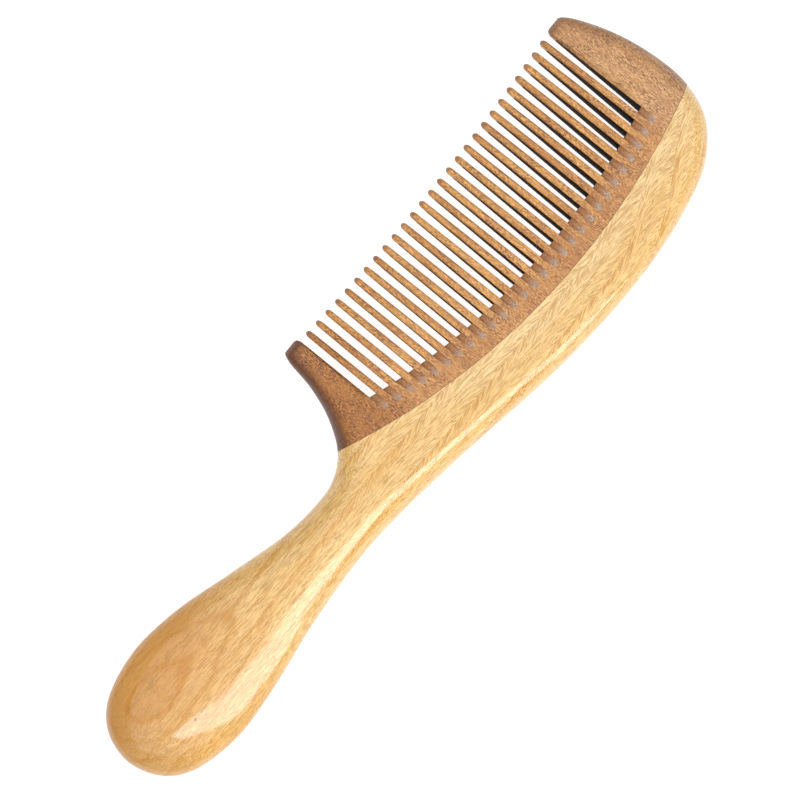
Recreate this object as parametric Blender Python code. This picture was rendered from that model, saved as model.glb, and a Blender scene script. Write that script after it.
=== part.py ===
# Wide tooth comb with a handle, made of two woods.
#
# The light piece is the handle and the curved back in one. The dark piece is the tooth plate: its lower
# edge is one circular arc, let into the back with a stopped tongue and groove and glued. The fine teeth
# and the two broad guards at its ends all belong to that plate. Each fine tooth is an object of its own
# here, so that the slots between the teeth stay open in anything that treats a part as a convex body.
#
# Frame: +X runs along the comb, from the handle to the far guard, +Y runs across it to the tooth tips,
# and +Z is its thickness. The comb lies on one face on z = 0. The origin is under the middle of its box.
# Lengths are in millimetres, and build_solid turns them into metres.

from math import asin, cos, hypot, pi, sin, sqrt

import bmesh
import bpy
import numpy as np

MM = 0.001

# thickness, measured either way from the comb's middle plane
FLAT_HALF = 6.0          # the board's own faces, which survive as two flats on the handle and the back
CROWN_HALF = 6.15        # where the rounded faces would peak if the board were thicker
SEAM_HALF = 5.7          # at the glue joint
TIP_HALF = 1.7           # at the tips of the teeth
TAPER = 1.35             # over 1, so the plate thins faster towards the tips
CROWN_REACH = 9.0        # from the glue joint out to the full crown

# glue joint, an arc whose centre lies beyond the tooth tips
ARC_X = 54.0
ARC_Y = 154.15
SEAM_RADIUS = 166.7
GLUE_GAP = 0.3
TONGUE_DEPTH = 5.0
TONGUE_ROOT = 1.5        # how far the tongue's own solid reaches back into the plate
TONGUE_HALF = 1.75
TONGUE_START = 0.0       # x of the stopped ends
TONGUE_END = 88.0

# teeth
TOOTH_COUNT = 27
TOOTH_PITCH = 3.25
FIRST_TOOTH = 1.4        # x of the first tooth's middle
STRIP_WIDTH = 7.3        # unbroken wood between the glue joint and the roots
ROOT_HALF_WIDTH = 0.86
TIP_HALF_WIDTH = 0.72
TIP_EDGE = 0.55          # rounding of a tooth's long edges at its tip
ROOT_EDGE = 0.25         # and at its root
NOSE_LENGTH = 1.1        # the rounded end of a tooth
TIP_LOW_X = 40.0         # the tips lie on a shallow curve, lowest here
TIP_LOW_Y = 23.85
TIP_CURVE_RADIUS = 616.0

# saw run-out: a shallow scoop in each face, past the end of every slot
RUNOUT = 4.5
RUNOUT_DEPTH = 1.6       # at the slot's end
RUNOUT_CURVE = 1.3       # over 1, so the scoop flattens as it reaches the face
RUNOUT_ROWS = 4

# guards
LEFT_GUARD_X = -1.13     # the sides that face the teeth
RIGHT_GUARD_X = 88.3
GUARD_TOP = 25.85
GUARD_TIP_EDGE = 1.8     # rounding of the outer edge at the tip
GUARD_CORNER = 1.2       # plan radius of the corner that faces the teeth
GUARD_END_POINTS = 8     # curve points on the flat end of each guard
FITTING_ROUNDS = 40      # a guard's points are moved to their place in small steps
FITTING_STEP = 0.6

# rounding of the outer edge elsewhere
KNIFE_EDGE = 0.05        # a half thickness under this is closed to an edge
SAME_PLACE = 0.0001      # points nearer than this are one point
BACK_EDGE = 6.0
HANDLE_EDGE = 15.3       # half the handle's greatest width, so that its section is an oval
HANDLE_WIDEST_X = -80.0
WAIST_X = -28.0
BACK_X = 2.0             # from here to the far end the back keeps one edge radius

# Outer edge of the whole comb, from the far guard's tip round the back and the handle to the near guard
OUTLINE = [
    (89.4, 25.85), (92.6, 25.75), (94.2, 23.9), (98.0, 13.9), (99.7, 4.0), (99.75, -4.0),
    (98.0, -11.2), (94.7, -16.1), (87.4, -21.2), (74.0, -24.6), (57.0, -26.0), (32.8, -24.7),
    (2.8, -20.15), (-17.2, -17.55), (-29.2, -16.85), (-47.2, -17.85), (-67.2, -20.45),
    (-80.0, -20.95), (-92.2, -17.85), (-97.4, -13.2), (-99.8, -5.4), (-97.6, 2.2), (-92.2, 7.0),
    (-80.2, 9.65), (-67.2, 8.25), (-52.2, 3.95), (-37.2, -0.25), (-28.2, -1.35), (-21.5, -0.95),
    (-15.4, 2.3), (-10.7, 8.85), (-7.9, 16.3), (-6.4, 23.85), (-5.4, 25.75), (-2.5, 25.85),
]


# ---------------------------------------------------------------- curves

def smooth_curve(points, steps=8):
    """Points along a centripetal Catmull-Rom curve through the given points."""
    first = 2 * np.array(points[0]) - np.array(points[1])
    last = 2 * np.array(points[-1]) - np.array(points[-2])
    p = [first] + [np.array(q, float) for q in points] + [last]
    out = []
    for a, b, c, d in zip(p, p[1:], p[2:], p[3:]):
        ta = 0.0
        tb = ta + sqrt(np.linalg.norm(b - a))
        tc = tb + sqrt(np.linalg.norm(c - b))
        td = tc + sqrt(np.linalg.norm(d - c))
        for k in range(steps):
            t = tb + (tc - tb) * k / steps
            ab = ((tb - t) * a + (t - ta) * b) / (tb - ta)
            bc = ((tc - t) * b + (t - tb) * c) / (tc - tb)
            cd = ((td - t) * c + (t - tc) * d) / (td - tc)
            abc = ((tc - t) * ab + (t - ta) * bc) / (tc - ta)
            bcd = ((td - t) * bc + (t - tb) * cd) / (td - tb)
            out.append(((tc - t) * abc + (t - tb) * bcd) / (tc - tb))
    out.append(p[-2])
    return np.array(out)


EDGE = smooth_curve(OUTLINE)
HANDLE_END = int(EDGE[:, 0].argmin())
FAR_END = int(EDGE[:, 0].argmax())
BACK_SIDE = EDGE[FAR_END:HANDLE_END + 1][::-1]     # turned to run with x
TOOTH_SIDE = EDGE[HANDLE_END:]                     # handle end, waist and near guard


def back_edge(x):
    return float(np.interp(x, BACK_SIDE[:, 0], BACK_SIDE[:, 1]))


def handle_edge(x):
    return float(np.interp(x, TOOTH_SIDE[:, 0], TOOTH_SIDE[:, 1]))


def arc_y(x, radius):
    return ARC_Y - sqrt(radius ** 2 - (x - ARC_X) ** 2)


def seam_y(x):
    return arc_y(x, SEAM_RADIUS)


def root_y(x):
    return arc_y(x, SEAM_RADIUS - STRIP_WIDTH)


def tip_y(x):
    return TIP_LOW_Y + (x - TIP_LOW_X) ** 2 / (2 * TIP_CURVE_RADIUS)


def edge_distance(x, y):
    """How far a point is from the comb's outer edge."""
    start = EDGE[:-1]
    run = EDGE[1:] - start
    to_point = np.array([x, y]) - start
    along = np.clip((to_point * run).sum(1) / (run * run).sum(1), 0, 1)
    gap = to_point - run * along[:, None]
    return float(np.sqrt((gap * gap).sum(1)).min())


# ---------------------------------------------------------------- thickness

def ease(t):
    """0 to 1 with level ends."""
    t = min(max(t, 0.0), 1.0)
    return t * t * (3 - 2 * t)


def quarter_round(distance, radius):
    """Share of the full thickness at a distance from a rounded edge."""
    t = min(max(distance / radius, 0.0), 1.0)
    return sqrt(1 - (1 - t) ** 2)


def edge_radius(x, y):
    """Rounding of the outer edge: an oval handle, a bullnosed back and thin guard tips."""
    if x < WAIST_X:
        half_width = (handle_edge(x) - back_edge(x)) / 2
        return HANDLE_EDGE if x < HANDLE_WIDEST_X else half_width
    waist = (handle_edge(WAIST_X) - back_edge(WAIST_X)) / 2
    body = waist + (BACK_EDGE - waist) * ease((x - WAIST_X) / (BACK_X - WAIST_X))
    return body + (GUARD_TIP_EDGE - body) * ease(y / GUARD_TOP)


def full_half(x, y):
    """Half thickness away from any edge: crowned back, flush joint, tapering plate and teeth."""
    outside = hypot(x - ARC_X, y - ARC_Y) - SEAM_RADIUS
    if outside > 0:
        return SEAM_HALF + (CROWN_HALF - SEAM_HALF) * ease(outside / CROWN_REACH)
    up = (y - seam_y(x)) / (tip_y(x) - seam_y(x))
    return SEAM_HALF + (TIP_HALF - SEAM_HALF) * min(max(up, 0), 1) ** TAPER


def half_thickness(x, y):
    rounded = full_half(x, y) * quarter_round(edge_distance(x, y), edge_radius(x, y))
    return min(rounded, FLAT_HALF) if rounded > KNIFE_EDGE else 0.0


# ---------------------------------------------------------------- solids

def build_solid(name, grid, material):
    """A closed body from a grid of (x, y, half thickness) points, mirrored about the middle plane.

    grid is a list of rows. None in a row leaves the cells around it out. Points that fall together are
    joined, so a row may shrink to a point and a step may stand between two columns at the same x.
    """
    bm = bmesh.new()
    known = {}
    heights = {}
    for x, y, half in [point for row in grid for point in row if point]:
        heights.setdefault((round(x, 4), round(y, 4)), set()).add(half)

    def vertex(x, y, z):
        key = (round(x, 4), round(y, 4), round(z, 4))
        if key not in known:
            known[key] = bm.verts.new((x * MM, y * MM, (FLAT_HALF + z) * MM))
        return known[key]

    def face(corners):
        ring = [v for i, v in enumerate(corners) if v is not corners[i - 1]]
        if len(ring) > 2 and len(set(ring)) == len(ring):
            bm.faces.new(ring)

    def post(x, y, top, side):
        """The points that stand at one place, from a height down to the middle plane."""
        levels = [h for h in heights[round(x, 4), round(y, 4)] if h <= top]
        return [vertex(x, y, side * h) for h in sorted(levels, reverse=True) + [0]]

    def wall(a, b):
        """Closes the side under the directed edge a to b, unless it is only a step in height."""
        if hypot(a[0] - b[0], a[1] - b[1]) > SAME_PLACE:
            for side in (1, -1):
                ring = post(*a, side) + post(*b, side)[::-1]
                face(ring[::side])

    def cell(i, j):
        if not (0 <= i < len(grid) - 1 and 0 <= j < len(grid[0]) - 1):
            return None
        corners = [grid[i][j], grid[i][j + 1], grid[i + 1][j + 1], grid[i + 1][j]]
        return None if None in corners else corners

    for i in range(len(grid) - 1):
        for j in range(len(grid[0]) - 1):
            corners = cell(i, j)
            if corners is None:
                continue
            face([vertex(x, y, h) for x, y, h in corners])
            face([vertex(x, y, -h) for x, y, h in reversed(corners)])
            sides = zip(corners, corners[1:] + corners[:1], ((i - 1, j), (i, j + 1), (i + 1, j), (i, j - 1)))
            for a, b, neighbour in sides:
                if cell(*neighbour) is None:
                    wall(a, b)
    bmesh.ops.recalc_face_normals(bm, faces=bm.faces)
    mesh = bpy.data.meshes.new(name)
    bm.to_mesh(mesh)
    bm.free()
    mesh.shade_smooth()
    mesh.set_sharp_from_angle(angle=pi / 5)
    mesh.materials.append(material)
    solid = bpy.data.objects.new(name, mesh)
    bpy.context.collection.objects.link(solid)
    return solid


def arc_bar(name, inner, outer, start_x, end_x, half, steps=28):
    """A bar of even thickness that follows the glue joint between two radii."""
    middle = (inner + outer) / 2
    first = asin((start_x - ARC_X) / middle)
    last = asin((end_x - ARC_X) / middle)
    grid = []
    for radius in (outer, inner):
        row = []
        for k in range(steps + 1):
            a = first + (last - first) * k / steps
            row.append((ARC_X + radius * sin(a), ARC_Y - radius * cos(a), half))
        grid.append(row)
    return build_solid(name, grid, None)


def add_boolean(target, tool, operation):
    modifier = target.modifiers.new(operation.lower(), "BOOLEAN")
    modifier.operation = operation
    modifier.solver = "EXACT"
    modifier.object = tool
    tool.hide_render = True
    tool.display_type = "WIRE"
    tool.parent = target


def wood(name, color, roughness):
    material = bpy.data.materials.new(name)
    material.use_nodes = True
    shader = material.node_tree.nodes["Principled BSDF"]
    shader.inputs["Base Color"].default_value = (*color, 1)
    shader.inputs["Roughness"].default_value = roughness
    shader.inputs["Metallic"].default_value = 0
    material.diffuse_color = (*color, 1)
    return material


# ---------------------------------------------------------------- handle and back

def meeting_x(side, radius):
    """x where an arc round the joint's centre meets one side of the outline, beyond the waist."""
    side = side[side[:, 0] > WAIST_X]
    outside = np.hypot(side[:, 0] - ARC_X, side[:, 1] - ARC_Y) - radius
    crossing = int(np.flatnonzero(outside[:-1] * outside[1:] <= 0)[0])
    share = outside[crossing] / (outside[crossing] - outside[crossing + 1])
    return float(side[crossing, 0] + share * (side[crossing + 1, 0] - side[crossing, 0]))


def handle_and_back(material, handle_stations=30, back_stations=32, across=14):
    """Stations along x, each running from the back's edge to the handle's edge or the glue joint."""
    radius = SEAM_RADIUS + GLUE_GAP / 2
    start_x = BACK_SIDE[0][0]
    near_x = meeting_x(TOOTH_SIDE, radius)
    far_x = meeting_x(BACK_SIDE, radius)
    turns = [pi / 2 * k / handle_stations for k in range(handle_stations + 1)]
    xs = [start_x + (near_x - start_x) * (1 - cos(turn)) for turn in turns]
    turns = [pi / 2 * k / back_stations for k in range(1, back_stations + 1)]
    xs += [near_x + (far_x - near_x) * sin(turn) for turn in turns]
    grid = []
    for x in xs:
        high = arc_y(x, radius) if x > near_x else handle_edge(x)
        low = back_edge(x) if x < far_x else high
        sweep = pi * (1 - ease((x - near_x) / BACK_EDGE) / 2)
        row = []
        for k in range(across + 1):
            share = (1 - cos(sweep * k / across)) / (1 - cos(sweep))
            y = low + (high - low) * share
            row.append((x, y, half_thickness(x, y)))
        grid.append(row)
    solid = build_solid("handle_and_back", grid, material)
    groove = arc_bar("groove_cutter", SEAM_RADIUS - TONGUE_ROOT, SEAM_RADIUS + TONGUE_DEPTH + GLUE_GAP,
                     TONGUE_START - GLUE_GAP, TONGUE_END + GLUE_GAP, TONGUE_HALF + GLUE_GAP)
    add_boolean(solid, groove, "DIFFERENCE")


# ---------------------------------------------------------------- tooth plate

def guard_edge_x(side, y):
    """x of a guard's outer edge at a height."""
    order = side[:, 1].argsort()
    return float(np.interp(y, side[order, 1], side[order, 0]))


def guard_top(x, inner_x, toward_teeth):
    """The guard's end, rounded at the corner that faces the teeth."""
    past = toward_teeth * (x - inner_x) + GUARD_CORNER
    return GUARD_TOP - GUARD_CORNER * (1 - sqrt(1 - min(max(past / GUARD_CORNER, 0), 1) ** 2))


def groove_half(x, y):
    """Half thickness left under the saw's run-out."""
    past = min(max((root_y(x) - y) / RUNOUT, 0), 1)
    return full_half(x, y) - RUNOUT_DEPTH * (1 - past) ** RUNOUT_CURVE


def tooth_x(index):
    return FIRST_TOOTH + TOOTH_PITCH * index


def tooth_plate(material, guard_columns=6):
    """The strip under the teeth and both guards, on one grid whose rows follow the glue joint."""
    radius = SEAM_RADIUS - GLUE_GAP / 2
    strip_rows = [0.0] + [1 - RUNOUT / STRIP_WIDTH * (1 - k / RUNOUT_ROWS) for k in range(RUNOUT_ROWS + 1)]
    guard_rows = [0.2, 0.4, 0.58, 0.74, 0.87, 0.95, 1.0]
    near_side = EDGE[HANDLE_END:][EDGE[HANDLE_END:, 0] > WAIST_X][:-GUARD_END_POINTS]
    far_side = EDGE[GUARD_END_POINTS:int(EDGE[:, 1].argmin())]
    spread = [1 - cos(pi / 2 * k / guard_columns) for k in range(guard_columns + 1)]

    def height(x, row, inner_x, toward_teeth):
        if row <= 1:
            low = arc_y(x, radius)
            return low + (root_y(x) - low) * row
        return root_y(x) + (guard_top(x, inner_x, toward_teeth) - root_y(x)) * (row - 1)

    def guard_points(row, side, inner_x, toward_teeth):
        points = []
        for share in spread:
            x = inner_x
            for _ in range(FITTING_ROUNDS):
                y = height(x, row, inner_x, toward_teeth)
                edge_x = guard_edge_x(side, y)
                x += (edge_x + (inner_x - edge_x) * share - x) * FITTING_STEP
            points.append((x, y, half_thickness(x, y)))
        return points

    def strip_points(row):
        points = []
        for k in range(TOOTH_COUNT + 1):
            start = LEFT_GUARD_X if k == 0 else tooth_x(k - 1) + ROOT_HALF_WIDTH
            end = RIGHT_GUARD_X if k == TOOTH_COUNT else tooth_x(k) - ROOT_HALF_WIDTH
            for x, sawn in ((start, False), (start, True), (end, True), (end, False)):
                y = height(x, row, LEFT_GUARD_X, 1)
                half = half_thickness(x, y)
                points.append((x, y, min(half, groove_half(x, y)) if sawn and row > strip_rows[1] else half))
        return points[1:-1]

    grid = []
    for row in strip_rows + [1 + g for g in guard_rows]:
        near = guard_points(row, near_side, LEFT_GUARD_X, 1)
        far = guard_points(row, far_side, RIGHT_GUARD_X, -1)[::-1]
        middle = strip_points(min(row, 1))
        grid.append(near + (middle if row <= 1 else [None] * len(middle)) + far)
    solid = build_solid("tooth_plate", grid, material)
    tongue = arc_bar("tongue", SEAM_RADIUS - TONGUE_ROOT, SEAM_RADIUS + TONGUE_DEPTH,
                     TONGUE_START, TONGUE_END, TONGUE_HALF)
    add_boolean(solid, tongue, "UNION")


def tooth(index, material):
    """One fine tooth: flat sided and square at the root, slim, thin and rounded at the tip."""
    middle_x = tooth_x(index)
    tip = tip_y(middle_x)
    foot = root_y(middle_x)
    length = tip - foot
    nose = [1 - NOSE_LENGTH / length * (1 - sin(turn)) for turn in (0, pi / 5, pi / 3, pi / 2)]
    grid = []
    for up in [0.0, 0.5] + nose:
        half_width = ROOT_HALF_WIDTH + (TIP_HALF_WIDTH - ROOT_HALF_WIDTH) * up
        half_width *= quarter_round(length * (1 - up), NOSE_LENGTH)
        edge = ROOT_EDGE + (TIP_EDGE - ROOT_EDGE) * up
        row = []
        for across, drop in ((-1, edge), (-0.6, 0), (0.6, 0), (1, edge)):
            x = middle_x + half_width * across
            y = root_y(x) + GLUE_GAP if up == 0 else foot + length * up
            half = (full_half(x, y) - drop) * quarter_round(length * (1 - up), NOSE_LENGTH)
            row.append((x, y, half))
        grid.append(row)
    build_solid(f"tooth_{index + 1:02d}", grid, material)


# ---------------------------------------------------------------- the comb

def main():
    for thing in list(bpy.data.objects):
        bpy.data.objects.remove(thing)
    light_wood = wood("light_wood", (0.72, 0.44, 0.15), 0.35)
    dark_wood = wood("dark_wood", (0.39, 0.18, 0.07), 0.4)
    handle_and_back(light_wood)
    tooth_plate(dark_wood)
    for index in range(TOOTH_COUNT):
        tooth(index, dark_wood)


main()
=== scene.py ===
# Looks of the two-wood comb. The light handle and back, the dark tooth plate with all its teeth and the
# glue line between them are each one finely meshed piece in place of the plain CAD solids. Lengths, widths
# and thicknesses are the CAD's; tooth edges, tooth ends and the saw's grooves are rounded more finely here.
# Lengths below are millimetres in the row frame; the meshes and the stage are made in metres.

from math import cos, pi, radians, sin

import bpy
import numpy as np
from mathutils import Matrix, Vector


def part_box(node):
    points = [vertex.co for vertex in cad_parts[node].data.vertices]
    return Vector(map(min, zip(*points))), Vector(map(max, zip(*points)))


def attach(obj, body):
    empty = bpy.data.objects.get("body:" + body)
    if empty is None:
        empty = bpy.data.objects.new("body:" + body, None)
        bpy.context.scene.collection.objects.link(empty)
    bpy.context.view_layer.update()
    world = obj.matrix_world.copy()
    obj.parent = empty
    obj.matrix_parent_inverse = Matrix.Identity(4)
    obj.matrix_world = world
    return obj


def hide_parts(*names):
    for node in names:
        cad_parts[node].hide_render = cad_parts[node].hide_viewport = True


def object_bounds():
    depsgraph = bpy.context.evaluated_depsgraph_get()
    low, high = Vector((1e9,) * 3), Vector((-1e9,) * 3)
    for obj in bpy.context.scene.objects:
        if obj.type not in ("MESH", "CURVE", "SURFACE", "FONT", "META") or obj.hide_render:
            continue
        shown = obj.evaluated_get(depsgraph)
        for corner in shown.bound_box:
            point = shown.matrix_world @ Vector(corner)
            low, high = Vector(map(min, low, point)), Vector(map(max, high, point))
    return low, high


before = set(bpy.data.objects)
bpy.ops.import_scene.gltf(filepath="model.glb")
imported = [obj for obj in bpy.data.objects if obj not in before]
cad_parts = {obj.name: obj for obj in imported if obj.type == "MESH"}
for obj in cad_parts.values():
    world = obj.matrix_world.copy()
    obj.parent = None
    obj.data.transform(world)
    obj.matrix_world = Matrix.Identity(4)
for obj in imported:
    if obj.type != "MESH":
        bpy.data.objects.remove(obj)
CAD_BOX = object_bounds()

MM = 0.001

# ---------------------------------------------------------------- sizes

HALF = (CAD_BOX[1][2] - CAD_BOX[0][2]) / MM / 2
CROWN_HALF = 6.15
SEAM_HALF = 5.7
TIP_HALF = 1.7
TAPER = 1.35
CROWN_REACH = 9.0

ARC_X = 54.0
ARC_Y = 154.15
SEAM_RADIUS = 166.7
STRIP_WIDTH = 7.3

ROOT_HALF_WIDTH = 0.86
TIP_HALF_WIDTH = 0.72
ROOT_EDGE = 0.25
NOSE_WIDTH = 1.1         # length of a tooth's rounded end, seen from above
NOSE_DEPTH = 1.5         # and seen from the side
RUNOUT = 4.5
RUNOUT_DEPTH = 1.6
RUNOUT_CURVE = 1.3

LEFT_GUARD_X = -1.13
RIGHT_GUARD_X = 88.3
TIP_LOW_X = 40.0
TIP_LOW_Y = 23.85
TIP_CURVE_RADIUS = 616.0
GUARD_TOP = 25.85
GUARD_TIP_EDGE = 1.8
GUARD_CORNER = 1.2

BACK_EDGE = 6.0
HANDLE_EDGE = 15.3
BULB_X = -80.0
WAIST_X = -28.0
BACK_X = 2.0

OUTLINE = [
    (89.4, 25.85), (92.6, 25.75), (94.2, 23.9), (98.0, 13.9), (99.7, 4.0), (99.75, -4.0),
    (98.0, -11.2), (94.7, -16.1), (87.4, -21.2), (74.0, -24.6), (57.0, -26.0), (32.8, -24.7),
    (2.8, -20.15), (-17.2, -17.55), (-29.2, -16.85), (-47.2, -17.85), (-67.2, -20.45),
    (-80.0, -20.95), (-92.2, -17.85), (-97.4, -13.2), (-99.8, -5.4), (-97.6, 2.2), (-92.2, 7.0),
    (-80.2, 9.65), (-67.2, 8.25), (-52.2, 3.95), (-37.2, -0.25), (-28.2, -1.35), (-21.5, -0.95),
    (-15.4, 2.3), (-10.7, 8.85), (-7.9, 16.3), (-6.4, 23.85), (-5.4, 25.75), (-2.5, 25.85),
]
CURVE_STEPS = 16


def tooth_spans():
    """(middle x, tip y) of each fine tooth, read from the CAD."""
    spans = []
    for name in sorted(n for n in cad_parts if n.startswith("tooth_") and n != "tooth_plate"):
        low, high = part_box(name)
        spans.append(((low.x + high.x) / 2 / MM, high.y / MM))
    return spans


TEETH = tooth_spans()


# ---------------------------------------------------------------- curves

def smooth_curve(points, steps):
    """Points along a centripetal Catmull-Rom curve through the given points."""
    p = [np.array(q, float) for q in points]
    p = [2 * p[0] - p[1]] + p + [2 * p[-1] - p[-2]]
    t = (np.arange(steps) / steps)[:, None]
    out = []
    for a, b, c, d in zip(p, p[1:], p[2:], p[3:]):
        ta = 0.0
        tb = ta + np.linalg.norm(b - a) ** 0.5
        tc = tb + np.linalg.norm(c - b) ** 0.5
        td = tc + np.linalg.norm(d - c) ** 0.5
        s = tb + (tc - tb) * t
        ab = ((tb - s) * a + (s - ta) * b) / (tb - ta)
        bc = ((tc - s) * b + (s - tb) * c) / (tc - tb)
        cd = ((td - s) * c + (s - tc) * d) / (td - tc)
        abc = ((tc - s) * ab + (s - ta) * bc) / (tc - ta)
        bcd = ((td - s) * bc + (s - tb) * cd) / (td - tb)
        out.append(((tc - s) * abc + (s - tb) * bcd) / (tc - tb))
    return np.vstack(out + [p[-2][None]])


EDGE = smooth_curve(OUTLINE, CURVE_STEPS)
HANDLE_END = int(EDGE[:, 0].argmin())
FAR_END = int(EDGE[:, 0].argmax())
LOWEST = int(EDGE[:, 1].argmin())
BACK_SIDE = EDGE[FAR_END:HANDLE_END + 1][::-1]
TOOTH_SIDE = EDGE[HANDLE_END:]
NEAR_GUARD = TOOTH_SIDE[TOOTH_SIDE[:, 0] > WAIST_X][:-CURVE_STEPS]
FAR_GUARD = EDGE[CURVE_STEPS:LOWEST][::-1]


def back_edge(x):
    return np.interp(x, BACK_SIDE[:, 0], BACK_SIDE[:, 1])


def handle_edge(x):
    return np.interp(x, TOOTH_SIDE[:, 0], TOOTH_SIDE[:, 1])


def arc_y(x, radius):
    return ARC_Y - np.sqrt(radius ** 2 - (x - ARC_X) ** 2)


def seam_y(x):
    return arc_y(x, SEAM_RADIUS)


def root_y(x):
    return arc_y(x, SEAM_RADIUS - STRIP_WIDTH)


def tip_y(x):
    """Height of the row of tips: straight from one tooth's tip to the next."""
    xs, ys = zip(*TEETH)
    return np.interp(x, xs, ys)


def edge_distance(x, y):
    """How far each point is from the comb's outer edge."""
    start = EDGE[:-1]
    run = EDGE[1:] - start
    length2 = (run ** 2).sum(1)
    x, y = np.broadcast_arrays(np.asarray(x, float), np.asarray(y, float))
    nearest = np.empty(x.size)
    for first in range(0, x.size, 4000):
        px = x.ravel()[first:first + 4000, None] - start[:, 0]
        py = y.ravel()[first:first + 4000, None] - start[:, 1]
        along = np.clip((px * run[:, 0] + py * run[:, 1]) / length2, 0, 1)
        gap2 = (px - run[:, 0] * along) ** 2 + (py - run[:, 1] * along) ** 2
        nearest[first:first + 4000] = np.sqrt(gap2.min(1))
    return nearest.reshape(x.shape)


# ---------------------------------------------------------------- thickness

def ease(t):
    """0 to 1 with level ends."""
    t = np.clip(t, 0, 1)
    return t * t * (3 - 2 * t)


def quarter_round(distance, radius):
    """Share of the full thickness at a distance from a rounded edge."""
    t = np.clip(distance / radius, 0, 1)
    return np.sqrt(1 - (1 - t) ** 2)


def edge_radius(x, y):
    """Rounding of the outer edge: an oval handle, a bullnosed back and thin guard tips."""
    half_width = (handle_edge(np.minimum(x, WAIST_X)) - back_edge(np.minimum(x, WAIST_X))) / 2
    handle = np.where(x < BULB_X, HANDLE_EDGE, half_width)
    body = handle + (BACK_EDGE - handle) * ease((x - WAIST_X) / (BACK_X - WAIST_X))
    return np.where(x < WAIST_X, handle, body + (GUARD_TIP_EDGE - body) * ease(y / GUARD_TOP))


def full_half(x, y):
    """Half thickness away from any edge: crowned back, flush joint, tapering plate and teeth."""
    outside = np.hypot(x - ARC_X, y - ARC_Y) - SEAM_RADIUS
    back = SEAM_HALF + (CROWN_HALF - SEAM_HALF) * ease(outside / CROWN_REACH)
    up = np.clip((y - seam_y(x)) / (tip_y(x) - seam_y(x)), 0, 1)
    plate = SEAM_HALF + (TIP_HALF - SEAM_HALF) * up ** TAPER
    return np.where(outside > 0, back, plate)


def soft_min(a, b, width):
    """The lesser of the two, with the corner between them rounded."""
    low = np.minimum(a, b)
    return low - width * np.log1p(np.exp(-np.abs(a - b) / width))


def half_thickness(x, y):
    rounded = full_half(x, y) * quarter_round(edge_distance(x, y), edge_radius(x, y))
    return np.maximum(soft_min(rounded, HALF, 0.07), 0)


# ---------------------------------------------------------------- meshes

def grid_piece(name, grid, smooth_angle=38):
    """A closed mesh from rows of (x, y, half thickness) points, mirrored about the middle plane.

    NaN leaves the cells around a point out. Points that fall together are joined, so a row may shrink
    to a point and a step may stand between two columns at the same x.
    """
    rows, columns, _ = grid.shape
    count = rows * columns
    flat = grid.reshape(-1, 3)
    layers = [flat * (1, 1, side) for side in (1, -1, 0)]
    corners = np.vstack(layers)
    here = np.isfinite(grid[..., 0])
    cell = here[:-1, :-1] & here[:-1, 1:] & here[1:, 1:] & here[1:, :-1]
    number = np.arange(count).reshape(rows, columns)
    quads = np.stack([number[:-1, :-1], number[:-1, 1:], number[1:, 1:], number[1:, :-1]], -1)
    loop = flat[quads[cell]]
    turn = np.roll(loop, -1, 1)
    area = (loop[..., 0] * turn[..., 1] - turn[..., 0] * loop[..., 1]).sum()
    if area < 0:
        quads = quads[..., ::-1]
    faces = [quads[cell], quads[cell][:, ::-1] + count]
    padded = np.pad(cell, 1)
    step = {(0, 1): (-1, 0), (1, 2): (0, 1), (2, 3): (1, 0), (3, 0): (0, -1)}
    for (a, b), (di, dj) in step.items():
        if area < 0:
            a, b = 3 - b, 3 - a
        outer = cell & ~padded[1 + di:padded.shape[0] - 1 + di, 1 + dj:padded.shape[1] - 1 + dj]
        p = quads[outer][:, a]
        q = quads[outer][:, b]
        faces.append(np.stack([q, p, p + 2 * count, q + 2 * count], -1))
        faces.append(np.stack([q + 2 * count, p + 2 * count, p + count, q + count], -1))
    faces = np.vstack(faces)
    used = np.unique(faces)
    keys = np.round(corners[used], 4) + 0.0
    points, inverse = np.unique(keys, axis=0, return_inverse=True)
    lookup = np.zeros(len(corners), int)
    lookup[used] = inverse.ravel()
    polygons = []
    for face in lookup[faces]:
        ring = [v for k, v in enumerate(face) if v != face[k - 1]]
        if len(ring) > 2 and len(set(ring)) == len(ring):
            polygons.append(ring)
    mesh = bpy.data.meshes.new(name)
    mesh.from_pydata((points + (0, 0, HALF)) * MM, [], polygons)
    mesh.update()
    mesh.shade_smooth()
    mesh.set_sharp_from_angle(angle=radians(smooth_angle))
    piece = bpy.data.objects.new(name, mesh)
    bpy.context.scene.collection.objects.link(piece)
    return piece


def meeting_x(side, radius):
    """x where an arc round the joint's centre meets one side of the outline, beyond the waist."""
    side = side[side[:, 0] > WAIST_X]
    outside = np.hypot(side[:, 0] - ARC_X, side[:, 1] - ARC_Y) - radius
    crossing = int(np.flatnonzero(outside[:-1] * outside[1:] <= 0)[0])
    share = outside[crossing] / (outside[crossing] - outside[crossing + 1])
    return side[crossing, 0] + share * (side[crossing + 1, 0] - side[crossing, 0])


GLUE_HALF = 0.055
BACK_ROWS = 440
BACK_COLUMNS = 96


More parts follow.
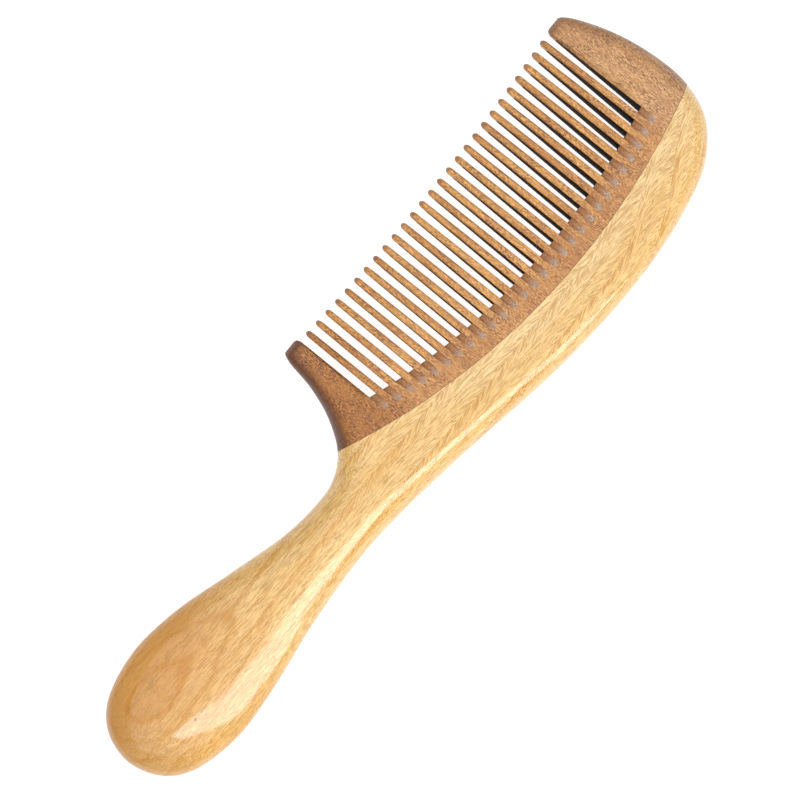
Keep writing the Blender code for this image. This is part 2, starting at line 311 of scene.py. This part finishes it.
def handle_and_back():
    """Rows along x, each running from the back's edge to the handle's edge or the glue joint."""
    radius = SEAM_RADIUS + GLUE_HALF
    near_x = meeting_x(TOOTH_SIDE, radius)
    far_x = meeting_x(BACK_SIDE, radius)
    start_x = BACK_SIDE[0, 0]
    turns = np.linspace(0, pi / 2, BACK_ROWS // 2 + 1)
    xs = np.concatenate([start_x + (near_x - start_x) * (1 - np.cos(turns)),
                         near_x + (far_x - near_x) * np.sin(turns[1:])])[:, None]
    high = np.where(xs > near_x, arc_y(np.clip(xs, near_x, far_x), radius), handle_edge(xs))
    low = np.where(xs < far_x, back_edge(xs), high)
    sweep = pi * (1 - ease((xs - near_x) / BACK_EDGE) / 2)
    k = np.arange(BACK_COLUMNS + 1) / BACK_COLUMNS
    share = (1 - np.cos(sweep * k)) / (1 - np.cos(sweep))
    y = low + (high - low) * share
    x = np.broadcast_to(xs, y.shape)
    half = half_thickness(x, y)
    half[0] = half[-1] = 0
    half[:, 0] = 0
    half[(xs <= near_x)[:, 0], -1] = 0
    return grid_piece("handle_and_back_wood", np.stack([x, y, half], -1))


def glue_line():
    """The thin film of glue, flush with both woods."""
    near_x = meeting_x(TOOTH_SIDE, SEAM_RADIUS - GLUE_HALF)
    far_x = meeting_x(BACK_SIDE, SEAM_RADIUS - GLUE_HALF)
    turns = np.linspace(-pi / 2, pi / 2, 260)
    middle_x = (near_x + far_x) / 2
    x = (middle_x + (far_x - near_x) / 2 * np.sin(turns))[:, None]
    columns = [(x, arc_y(x, SEAM_RADIUS + side * GLUE_HALF)) for side in (-1, 0, 1)]
    grid = np.stack([np.hstack([c[0] for c in columns]), np.hstack([c[1] for c in columns])], -1)
    half = half_thickness(grid[..., 0], grid[..., 1])
    return grid_piece("glue_line", np.dstack([grid, half]))


STRIP_ROWS = 24
TOOTH_ROWS = 46
NOSE_ROWS = 14
GUARD_COLUMNS = 22
TOOTH_COLUMNS = 14
SLOT_COLUMNS = 8
GROOVE_ROUND = 0.35       # share by which the saw's groove is shorter and shallower at its sides
GUARD_INNER_EDGE = 0.75   # rounding of the guard's side that faces the teeth
GUARD_END_EDGE = 1.6      # and of its end
GUARD_ROUNDS = 60         # steps to settle a guard's columns between its two sides
GUARD_STEP = 0.6          # share of the way covered in each
NOSE_SHARE = 0.07         # share of a tooth's length that the close rows at its end take up


def guard_top(x, inner_x, toward_teeth):
    """The guard's end, rounded at the corner that faces the teeth."""
    past = np.clip((toward_teeth * (x - inner_x) + GUARD_CORNER) / GUARD_CORNER, 0, 1)
    return GUARD_TOP - GUARD_CORNER * (1 - np.sqrt(1 - past ** 2))


def groove_half(x, y, off_middle):
    """Half thickness under the saw's run-out, rounded across the slot, where off_middle is -1 to 1."""
    rounded = 1 - GROOVE_ROUND * np.abs(off_middle) ** 3
    past = np.clip((root_y(x) - y) / (RUNOUT * rounded), 0, 1)
    return half_thickness(x, y) - RUNOUT_DEPTH * rounded * (1 - past) ** RUNOUT_CURVE


def row_y(x, row, radius, top):
    """Height of a row: 0 at the glue joint, 1 at the roots of the teeth, 2 at the top."""
    foot = root_y(x)
    low = arc_y(x, radius)
    return np.where(row <= 1, low + (foot - low) * row, foot + (top - foot) * (row - 1))


def guard_columns(rows, side, inner_x, toward_teeth, radius):
    """Points from a guard's outer edge to the side that faces the teeth."""
    share = 1 - np.cos(pi / 2 * np.arange(GUARD_COLUMNS + 1) / GUARD_COLUMNS)
    row = rows[:, None]
    x = np.full((len(rows), GUARD_COLUMNS + 1), inner_x)
    for _ in range(GUARD_ROUNDS):
        y = row_y(x, row, radius, guard_top(x, inner_x, toward_teeth))
        edge_x = np.interp(y, side[:, 1], side[:, 0])
        x = x + (edge_x + (inner_x - edge_x) * share - x) * GUARD_STEP
    half = half_thickness(x, y)
    kept = quarter_round(np.abs(x - inner_x), GUARD_INNER_EDGE)
    drop = GUARD_INNER_EDGE * (1 - kept) * ease((row - 1) / 0.1)
    top_drop = quarter_round(GUARD_TOP - y, GUARD_END_EDGE)
    half = (half - drop) * np.where(row > 1, top_drop, 1)
    return np.stack([x, y, np.maximum(half, 0)], -1)


def tooth_columns(rows, middle_x, tip, radius):
    """A tooth and the strip of plate under it, rounded along its edges and at its nose."""
    row = rows[:, None]
    u = -np.cos(pi * np.arange(TOOTH_COLUMNS + 1) / TOOTH_COLUMNS)[None, :]
    foot = root_y(middle_x)
    up = np.clip(row - 1, 0, 1)
    left = (tip - foot) * (1 - up)
    width = ROOT_HALF_WIDTH + (TIP_HALF_WIDTH - ROOT_HALF_WIDTH) * up
    nose = quarter_round(left, NOSE_WIDTH)
    x = middle_x + u * width * nose
    y = np.where(row > 1, foot + (tip - foot) * up, row_y(x, row, radius, tip))
    blend = ease((row - 1) / 0.08)
    y = y * blend + row_y(x, row, radius, tip) * (1 - blend)
    half = half_thickness(x, y)
    edge = ROOT_EDGE + (TIP_HALF_WIDTH - ROOT_EDGE) * ease(up / 0.7)
    edge = np.minimum(edge, width)
    from_side = width * (1 - np.abs(u))
    drop = edge * (1 - quarter_round(from_side, edge))
    groove_depth = half - groove_half(x, y, 1)
    drop = np.where(row < 1, np.minimum(drop, groove_depth / 2), drop)
    half = (half - drop) * quarter_round(left, NOSE_DEPTH)
    return np.stack([x, y, np.maximum(half, 0)], -1)


def slot_columns(rows, start_x, end_x, radius):
    """The floor of the saw's groove below one slot."""
    off_middle = np.linspace(-1, 1, SLOT_COLUMNS + 1)[None, :]
    x = (start_x + end_x) / 2 + off_middle * (end_x - start_x) / 2 + 0 * rows[:, None]
    y = row_y(x, rows[:, None], radius, GUARD_TOP)
    points = np.stack([x, y, groove_half(x, y, off_middle)], -1)
    points[rows > 1 + 1e-9] = np.nan
    return points


def tooth_plate():
    """Strip, guards and teeth on one grid whose rows follow the glue joint, then the row of tips."""
    radius = SEAM_RADIUS - GLUE_HALF
    runout_row = 1 - RUNOUT / STRIP_WIDTH
    rows = np.concatenate([
        np.linspace(0, runout_row, STRIP_ROWS // 3)[:-1],
        np.linspace(runout_row, 1, STRIP_ROWS),
        1 + np.linspace(0, 1 - NOSE_SHARE, TOOTH_ROWS)[1:],
        2 - NOSE_SHARE + NOSE_SHARE * np.sin(np.linspace(0, pi / 2, NOSE_ROWS))[1:],
    ])
    blocks = [guard_columns(rows, NEAR_GUARD, LEFT_GUARD_X, 1, radius)]
    edges = [LEFT_GUARD_X]
    for middle_x, _ in TEETH:
        edges += [middle_x - ROOT_HALF_WIDTH, middle_x + ROOT_HALF_WIDTH]
    edges.append(RIGHT_GUARD_X)
    for k, (start_x, end_x) in enumerate(zip(edges[::2], edges[1::2])):
        blocks.append(slot_columns(rows, start_x, end_x, radius))
        if k < len(TEETH):
            blocks.append(tooth_columns(rows, *TEETH[k], radius))
    blocks.append(guard_columns(rows, FAR_GUARD, RIGHT_GUARD_X, -1, radius)[:, ::-1])
    return grid_piece("tooth_plate_wood", np.concatenate(blocks, 1))


def mark_outer_edge(piece):
    """Stores each point's distance from the comb's outer edge, in mm, as 'edge_distance'."""
    flat = np.empty(len(piece.data.vertices) * 3)
    piece.data.vertices.foreach_get("co", flat)
    x, y, _ = flat.reshape(-1, 3).T / MM
    layer = piece.data.attributes.new("edge_distance", "FLOAT", "POINT")
    layer.data.foreach_set("value", edge_distance(x, y).astype(np.float32))


def mark_sawn_faces(piece):
    """Gives the walls of the slots and the grooves past their ends the second material."""
    mesh = piece.data
    flat = np.empty(len(mesh.polygons) * 3)
    mesh.polygons.foreach_get("center", flat)
    x, y, z = flat.reshape(-1, 3).T / MM
    depth = half_thickness(x, y) - np.abs(z - HALF)
    between = (x > LEFT_GUARD_X - 0.01) & (x < RIGHT_GUARD_X + 0.01)
    middles = np.array([middle for middle, _ in TEETH])
    from_tooth = np.abs(x[:, None] - middles).min(1)
    past_slot = (y < root_y(x)) & (y > root_y(x) - RUNOUT)
    groove = past_slot & (from_tooth > ROOT_HALF_WIDTH - 0.01) & (depth > 0.02)
    wall = (y >= root_y(x) - 0.01) & (depth > 1.0) & (y < tip_y(x) - 2.5)
    sawn = between & (groove | wall)
    mesh.polygons.foreach_set("material_index", sawn.astype(np.int32))


# ---------------------------------------------------------------- material nodes

class Field:
    """A number that varies over a surface, held as a socket, with ordinary arithmetic."""

    def __init__(self, graph, socket):
        self.graph = graph
        self.socket = socket

    def __add__(self, other):
        return self.graph.math("ADD", self, other)

    def __sub__(self, other):
        return self.graph.math("SUBTRACT", self, other)

    def __rsub__(self, other):
        return self.graph.math("SUBTRACT", other, self)

    def __mul__(self, other):
        return self.graph.math("MULTIPLY", self, other)

    def __truediv__(self, other):
        return self.graph.math("DIVIDE", self, other)

    def __pow__(self, other):
        return self.graph.math("POWER", self, other)

    def __abs__(self):
        return self.graph.math("ABSOLUTE", self)

    __radd__ = __add__
    __rmul__ = __mul__


class Graph:
    """A material's node tree, with short calls for the nodes that the woods use."""

    def __init__(self, name):
        self.material = bpy.data.materials.new(name)
        self.material.use_nodes = True
        self.tree = self.material.node_tree
        self.tree.nodes.clear()
        position = self.node("ShaderNodeTexCoord").outputs["Object"]
        scaled = self.node("ShaderNodeVectorMath", operation="SCALE")
        self.tree.links.new(position, scaled.inputs[0])
        scaled.inputs["Scale"].default_value = 1 / MM
        parts = self.node("ShaderNodeSeparateXYZ")
        self.tree.links.new(scaled.outputs[0], parts.inputs[0])
        self.x, self.y, self.z = (Field(self, parts.outputs[k]) for k in range(3))

    def node(self, kind, **settings):
        made = self.tree.nodes.new(kind)
        for name, value in settings.items():
            setattr(made, name, value)
        return made

    def feed(self, socket, value):
        """Links a field to a socket, or sets the socket to a plain value."""
        if isinstance(value, Field):
            self.tree.links.new(value.socket, socket)
        elif isinstance(value, tuple) and len(value) == 3:
            socket.default_value = (*value, 1)
        else:
            socket.default_value = value

    def math(self, operation, *values):
        made = self.node("ShaderNodeMath", operation=operation)
        for socket, value in zip(made.inputs, values):
            self.feed(socket, value)
        return Field(self, made.outputs[0])

    def vector(self, x, y, z):
        made = self.node("ShaderNodeCombineXYZ")
        for socket, value in zip(made.inputs, (x, y, z)):
            self.feed(socket, value)
        return Field(self, made.outputs[0])

    def noise(self, x, y, z, detail=2.0, roughness=0.5):
        """Smooth noise about one unit across in the given coordinates, 0 to 1 about 0.5."""
        made = self.node("ShaderNodeTexNoise")
        self.feed(made.inputs["Vector"], self.vector(x, y, z))
        self.feed(made.inputs["Scale"], 1.0)
        self.feed(made.inputs["Detail"], detail)
        self.feed(made.inputs["Roughness"], roughness)
        return Field(self, made.outputs["Fac"])

    def ramp(self, value, low, high, start=0.0, end=1.0):
        """start below low, end above high, and a soft rise between."""
        made = self.node("ShaderNodeMapRange", interpolation_type="SMOOTHSTEP")
        for socket, number in zip(made.inputs, (value, low, high, start, end)):
            self.feed(socket, number)
        return Field(self, made.outputs[0])

    def ridge(self, value, middle, width):
        """1 where value is middle, falling softly to 0 at width either side."""
        return self.ramp(abs(value - middle), 0.0, width, 1.0, 0.0)

    def mix(self, share, first, second):
        made = self.node("ShaderNodeMix", data_type="RGBA", blend_type="MIX")
        self.feed(made.inputs["Factor"], share)
        self.feed(made.inputs[6], first)
        self.feed(made.inputs[7], second)
        return Field(self, made.outputs[2])

    def attribute(self, name):
        made = self.node("ShaderNodeAttribute", attribute_name=name)
        return Field(self, made.outputs["Fac"])

    def finish(self, color, roughness, height, depth, coat, coat_roughness, specular=0.5, glow=0.0):
        """Joins the fields to one polished shader. depth is the relief for a height of 1, in mm."""
        shader = self.node("ShaderNodeBsdfPrincipled")
        shader.inputs["Emission Color"].default_value = (1, 1, 1, 1)
        shader.inputs["Emission Strength"].default_value = glow
        bump = self.node("ShaderNodeBump")
        self.feed(bump.inputs["Height"], height)
        bump.inputs["Distance"].default_value = depth * MM
        self.feed(shader.inputs["Base Color"], color)
        self.feed(shader.inputs["Roughness"], roughness)
        self.tree.links.new(bump.outputs[0], shader.inputs["Normal"])
        shader.inputs["Coat Weight"].default_value = coat
        shader.inputs["Coat Roughness"].default_value = coat_roughness
        shader.inputs["Specular IOR Level"].default_value = specular
        out = self.node("ShaderNodeOutputMaterial")
        self.tree.links.new(shader.outputs[0], out.inputs[0])
        return self.material


# ---------------------------------------------------------------- woods

RING_X = -84.5
RING_Y = 0.2
RIBBON = 6.5
FIRST_SPINE = -0.8


def slanted(graph, x, y, z, degrees, length, width, offset, detail=2.0):
    """Noise drawn out along the grain, which leans by some degrees from x."""
    turn = radians(degrees)
    along = x * cos(turn) + y * sin(turn)
    across = y * cos(turn) - x * sin(turn)
    return graph.noise(along / length + offset, across / width, z / width, detail, 0.6)


def leaning_grain(graph, leans, thread_size, pore_size, pore_range):
    """Fibres and pores that lean differently from place to place. leans: (share, degrees) pairs."""
    x, y, z = graph.x, graph.y, graph.z
    fibre = pores = None
    for number, (share, degrees) in enumerate(leans):
        thread = slanted(graph, x, y, z, degrees, *thread_size, 40.0 * number, 4.0) * share
        pore = slanted(graph, x, y, z, degrees, *pore_size, 40.0 * number)
        pore = graph.ramp(pore, *pore_range) * share
        fibre = thread if fibre is None else fibre + thread
        pores = pore if pores is None else pores + pore
    return fibre, pores


def light_wood():
    """Honey-coloured and polished, with a feathered grain and rings where the handle is carved."""
    g = Graph("light_wood_grain")
    x, y, z = g.x, g.y, g.z
    drift = g.noise(x / 34, y / 11, z / 11, 2.0) - 0.5
    sweep = g.ramp(x, 52.0, 112.0) * 22.0
    across = y - sweep + drift * 3.2

    # ribbons of grain that lean one way, then the other, and meet on dark spines
    turns = (across - FIRST_SPINE) / RIBBON
    lean = g.math("FRACT", turns)
    down = g.ramp(lean, 0.1, 0.5, 1.0, 0.0)
    up = g.ramp(lean, 0.5, 0.9)
    feathered = g.ramp(x, -50.0, 10.0, 0.35, 1.0)
    down = down * feathered
    up = up * feathered
    leans = ((down, -15.0), (1.0 - down - up, -3.0), (up, 19.0))
    fibre, pores = leaning_grain(g, leans, (4.5, 0.36), (2.8, 0.2), (0.52, 0.6))

    # rings on the handle's end, egg shaped, with the pointed side towards the comb
    right = x - RING_X
    reach = g.math("MAXIMUM", right, 0.0)
    left = g.math("MAXIMUM", 0.0 - right, 0.0)
    rx = reach / (9.45 + reach * 0.14) + left / 7.0
    ry = abs(y - RING_Y + right * 0.05) / 4.6
    wobble = (g.noise(x / 9, y / 4, z / 5, 2.0) - 0.5) * 0.5 + (fibre - 0.5) * 0.5
    ring = (rx ** 1.8 + ry ** 1.8) ** (1 / 1.8) + (2 * HALF - z) * 0.09 + wobble
    on_handle = g.ramp(x, -60.0, -46.0, 1.0, 0.0)
    heart = g.ramp(ring, 0.7, 1.2, 1.0, 0.0) * on_handle
    rings = g.ridge(ring, 1.0, 0.24) + g.ridge(ring, 1.95, 0.14) * 0.7 + g.ridge(ring, 2.9, 0.25) * 0.6
    rings = (rings + g.ridge(ring, 1.45, 0.12) * 0.2) * on_handle

    # colours
    tone = g.noise(x / 22 + 7, across / 2.6, z / 2.6, 3.0, 0.6)
    ragged = lean + (fibre - 0.5) * 1.1
    amber_band = g.ramp(ragged, 0.72, 1.0)
    spine = g.ridge(ragged, 1.0, 0.12)
    color = g.mix(g.ramp(tone, 0.3, 0.72), (0.86, 0.58, 0.24), (0.81, 0.50, 0.165))
    color = g.mix(amber_band * 0.55, color, (0.68, 0.33, 0.045))
    color = g.mix(spine * 0.3, color, (0.46, 0.20, 0.04))
    # painted sheen: the back is paler along the joint, from x -20 mm on
    from_seam = ((x - ARC_X) ** 2.0 + (y - ARC_Y) ** 2.0) ** 0.5 - SEAM_RADIUS
    painted_sheen_near_seam = g.ramp(from_seam, 2.0, 7.0, 0.6, 0.0) * g.ramp(x, -20.0, 20.0)
    color = g.mix(painted_sheen_near_seam, color, (0.88, 0.66, 0.34))
    # darker, more orange over the handle: partly the heartwood's own tone, partly painted shade on the side
    # towards the teeth, which faces away from the light
    tan_and_painted_shade = g.ramp(x, -72.0, -46.0, 1.0, 0.0) * g.ramp(across, -13.0, 6.0, 0.35, 1.0)
    color = g.mix(tan_and_painted_shade, color, (0.66, 0.315, 0.075))
    color = g.mix(heart * 0.35, color, (0.58, 0.25, 0.05))
    color = g.mix(rings * 0.8, color, (0.58, 0.22, 0.012))
    # painted shade: the colour darkens towards the far end of the handle
    color = g.mix(g.ramp(x, -98.0, -82.0, 0.35, 0.0), color, (0.36, 0.17, 0.05))
    color = g.mix(g.ramp(fibre, 0.48, 0.56) * 0.4, color, (0.60, 0.285, 0.04))
    color = g.mix(pores * 0.6, color, (0.50, 0.225, 0.035))
    knot = ((x + 81.9) ** 2.0 + (y + 10.9) ** 2.0) ** 0.5
    color = g.mix(g.ramp(knot, 0.2, 0.5, 0.75, 0.0) * g.ramp(z, 6.0, 7.0), color, (0.16, 0.06, 0.03))

    roughness = 0.34 + pores * 0.12 + (fibre - 0.5) * 0.1
    waviness = g.noise(x / 12, y / 6, z / 6, 1.0)
    height = fibre - pores + waviness
    return g.finish(color, roughness, height, 0.05, coat=1.0, coat_roughness=0.09, specular=0.25)


def dark_wood():
    """Orange-brown, grain along the teeth, full of short dark flecks."""
    g = Graph("dark_wood_grain")
    x, y, z = g.x, g.y, g.z
    drift = g.noise(x / 9, y / 26, z / 9, 2.0) - 0.5
    across = x + drift * 2.4
    right = g.ramp(g.noise(x / 4, y / 12, z / 7, 1.0), 0.42, 0.58)
    leans = ((right, 80.0), (1.0 - right, 100.0))
    fibre, flecks = leaning_grain(g, leans, (4.0, 0.3), (0.8, 0.2), (0.5, 0.55))

    band = g.noise(across / 3.2, y / 60, z / 3.5, 2.0, 0.6)
    near = g.ramp(x, -4.0, 9.0, 1.0, 0.0)
    far = g.ramp(x, 84.0, 90.0)
    color = g.mix(g.ramp(band, 0.42, 0.62), (0.87, 0.45, 0.135), (0.68, 0.31, 0.085))
    from_seam = SEAM_RADIUS - ((x - ARC_X) ** 2.0 + (y - ARC_Y) ** 2.0) ** 0.5
    color = g.mix(g.ramp(from_seam, 5.0, 9.0, 0.5, 0.0), color, (0.56, 0.27, 0.11))
    color = g.mix(near * 0.85, color, (0.48, 0.18, 0.025))
    color = g.mix(far * 0.6, color, (0.74, 0.45, 0.23))
    color = g.mix(far * g.ramp(y, 10.0, 22.0, 0.0, 0.4), color, (0.45, 0.22, 0.09))
    color = g.mix(g.ramp(fibre, 0.46, 0.58) * 0.5, color, (0.38, 0.155, 0.055))
    dense = g.ramp(g.noise(x / 3 + 9, y / 6, z / 5, 1.0), 0.35, 0.65, 0.5, 0.95)
    dense = dense * g.ramp(x, -1.0, 8.0, 1.15, 0.8)
    color = g.mix(flecks * dense, color, (0.15, 0.05, 0.033))
    streaks = g.ramp(g.noise(across / 0.8, (y + x * 0.1) / 13, z / 1.2, 2.0), 0.55, 0.68)
    color = g.mix(streaks * g.ramp(x, 30.0, 90.0, 0.15, 0.4), color, (0.36, 0.15, 0.05))
    # painted shade: nearly black along the outer edge, strongest on the near guard
    edge = g.ramp(g.attribute("edge_distance") + fibre * 2.0, 1.8, 4.8, 1.0, 0.0)
    color = g.mix(edge * g.ramp(x, -2.0, 80.0, 0.9, 0.3), color, (0.10, 0.03, 0.015))
    # painted shade: the tops of the teeth darken near their ends, where the ends round over
    from_tip = TIP_LOW_Y + (x - TIP_LOW_X) ** 2.0 / (2 * TIP_CURVE_RADIUS) - y
    color = g.mix(g.ramp(from_tip, 0.2, 1.4, 0.65, 0.0), color, (0.22, 0.08, 0.035))

    roughness = 0.38 + flecks * 0.12
    height = fibre - flecks
    return g.finish(color, roughness, height, 0.04, coat=0.25, coat_roughness=0.2, specular=0.35)


def sawn_wood():
    """The dark wood where the saw left it: brown and dusty grooves, and slot walls in painted shade, nearly
    black.
    """
    g = Graph("dark_wood_sawn")
    x, y, z = g.x, g.y, g.z
    grit = g.noise(x * 3, y * 3, z * 3, 2.0, 0.7)
    from_seam = SEAM_RADIUS - ((x - ARC_X) ** 2.0 + (y - ARC_Y) ** 2.0) ** 0.5
    dusty = g.ramp(from_seam + grit * 2.0 - 1.0, STRIP_WIDTH - RUNOUT + 0.2, STRIP_WIDTH - 1.2, 1.0, 0.0)
    far = g.ramp(x, 8.0, 78.0, 0.7, 1.0)
    color = g.mix(g.ramp(grit, 0.35, 0.65), (0.38, 0.18, 0.085), (0.54, 0.28, 0.14))
    dust = g.mix(g.ramp(grit, 0.4, 0.6), (0.34, 0.24, 0.18), (0.55, 0.45, 0.39))
    color = g.mix(dusty * far, color, dust)
    # painted shade: the slot walls are nearly black whatever light reaches them
    color = g.mix(g.ramp(from_seam, STRIP_WIDTH - 0.1, STRIP_WIDTH + 0.2), color, (0.035, 0.018, 0.012))
    return g.finish(color, 0.75, grit, 0.05, coat=0.0, coat_roughness=0.5, specular=0.1)


def glue():
    """The joint's dark hairline."""
    g = Graph("glue_film")
    spots = g.noise(g.x * 1.5, g.y * 1.5, g.z * 1.5, 2.0, 0.6)
    color = g.mix(g.ramp(spots, 0.35, 0.65), (0.10, 0.045, 0.025), (0.22, 0.10, 0.05))
    return g.finish(color, 0.45 + spots * 0.1, spots, 0.005, coat=0.2, coat_roughness=0.25)


# ---------------------------------------------------------------- stage

PICTURE_TURN = radians(50.8)     # the comb's length leans this far from the picture's right
PICTURE_MIDDLE = (2.8, -1.15)
CAMERA_HEIGHT = 646.0
RIGHT = Vector((cos(PICTURE_TURN), -sin(PICTURE_TURN), 0))
UP = Vector((sin(PICTURE_TURN), cos(PICTURE_TURN), 0))


def picture_point(right, up, height):
    """A place in metres from the picture's middle, along the picture's own sides, all in mm."""
    middle = Vector((*PICTURE_MIDDLE, 0))
    return (middle + RIGHT * right + UP * up + Vector((0, 0, height))) * MM


def floor():
    half = 2.5
    mesh = bpy.data.meshes.new("floor")
    corners = [(-half, -half, 0), (half, -half, 0), (half, half, 0), (-half, half, 0)]
    mesh.from_pydata(corners, [], [(0, 1, 2, 3)])
    piece = bpy.data.objects.new("floor", mesh)
    bpy.context.scene.collection.objects.link(piece)
    g = Graph("pale_floor")
    mottle = g.noise(g.x / 40, g.y / 40, g.z, 1.0)
    color = g.mix(mottle, (0.30, 0.30, 0.30), (0.32, 0.32, 0.32))
    paint = g.finish(color, 0.9, mottle, 0.0, coat=0.0, coat_roughness=0.5, glow=0.9)
    piece.data.materials.append(paint)
    return piece


def soft_box(name, start, end, width, watts):
    """A rectangular light between two places, in mm along the picture's sides, that faces the comb."""
    start = picture_point(*start)
    end = picture_point(*end)
    place = (start + end) / 2
    side = (end - start).normalized()
    back = place - picture_point(0, 0, HALF)
    back = (back - side * back.dot(side)).normalized()
    data = bpy.data.lights.new(name, "AREA")
    data.shape = "RECTANGLE"
    data.size = (end - start).length
    data.size_y = width * MM
    data.energy = watts
    lamp = bpy.data.objects.new(name, data)
    turn = Matrix((side, back.cross(side), back)).transposed().to_4x4()
    lamp.matrix_world = Matrix.Translation(place) @ turn
    bpy.context.scene.collection.objects.link(lamp)


def lights():
    soft_box("overhead_box", (-860, -60, 950), (1340, -60, 950), 1800, 14.3)
    soft_box("low_box", (0, -365, 800), (700, -480, 175), 145, 2.6)
    world = bpy.data.worlds.new("studio")
    world.use_nodes = True
    background = world.node_tree.nodes["Background"]
    background.inputs["Color"].default_value = (1, 1, 1, 1)
    background.inputs["Strength"].default_value = 0.33
    bpy.context.scene.world = world


def camera():
    data = bpy.data.cameras.new("camera")
    data.lens = 127
    data.sensor_width = 36
    data.clip_start = 0.01
    view = bpy.data.objects.new("camera", data)
    axes = Matrix((RIGHT, UP, Vector((0, 0, 1)))).transposed().to_4x4()
    view.matrix_world = Matrix.Translation(picture_point(0, 0, CAMERA_HEIGHT)) @ axes
    bpy.context.scene.collection.objects.link(view)
    bpy.context.scene.camera = view


# ---------------------------------------------------------------- the comb

def add(piece, material, slot, *nodes):
    piece.data.materials.append(material)
    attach(piece, "root")
    if nodes:
        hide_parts(*nodes)
    return piece


add(handle_and_back(), light_wood(), "light_wood", "handle_and_back")
plate = tooth_plate()
teeth_nodes = sorted(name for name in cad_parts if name.startswith("tooth_"))
add(plate, dark_wood(), "dark_wood", *teeth_nodes)
plate.data.materials.append(sawn_wood())
mark_sawn_faces(plate)
mark_outer_edge(plate)
add(glue_line(), glue(), "dark_wood")
floor()
lights()
camera()
bpy.context.scene.view_settings.view_transform = "Standard"
